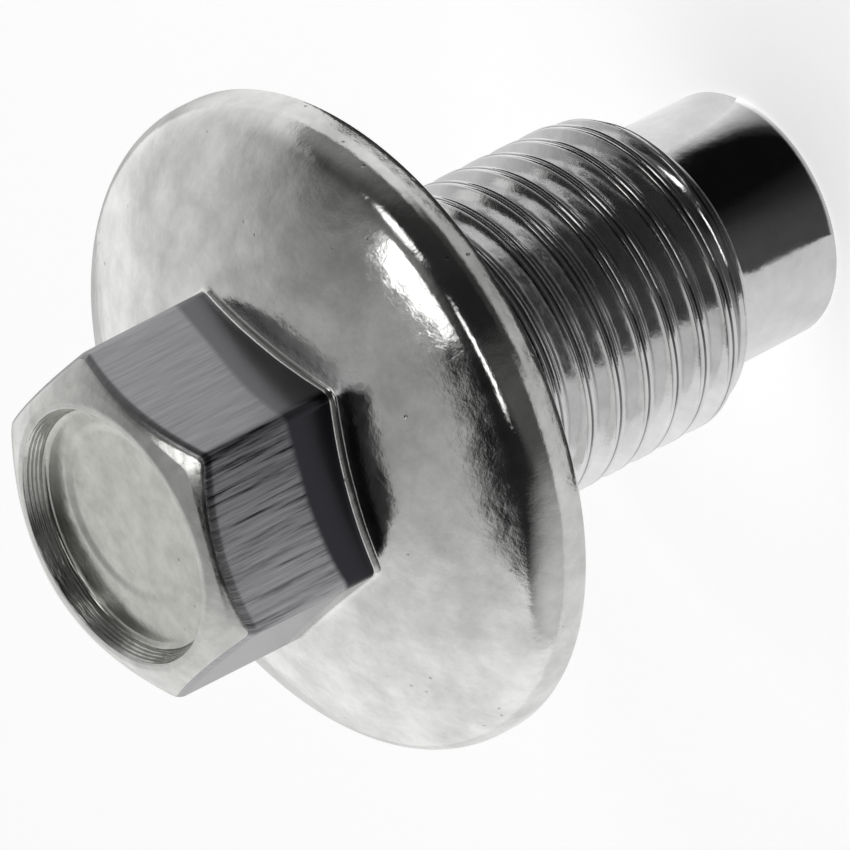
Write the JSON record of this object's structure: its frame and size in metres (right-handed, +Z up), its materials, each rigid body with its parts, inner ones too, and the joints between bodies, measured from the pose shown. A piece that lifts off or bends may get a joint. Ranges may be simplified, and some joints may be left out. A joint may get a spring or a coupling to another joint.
{
  "type": "oil drain plug",
  "caption": "Plated steel oil drain plug with a domed sealing flange, a small hex head with a dished recess, a rolled fine thread and a plain pilot end.",
  "frame": {"origin": "middle of the pilot's flat end face, on which the plug stands", "axes": "+Z up along the thread axis towards the hex head, +X through the middle of a hex flat"},
  "size_m": [0.0271, 0.027, 0.0332],
  "materials": {
    "plated_steel": "bright plated over cold-headed steel, satin on the flats and flange, brighter on the shoulder and pilot"
  },
  "bodies": {
    "root": {"drain_plug": "plated_steel"}
  },
  "joints": []
}
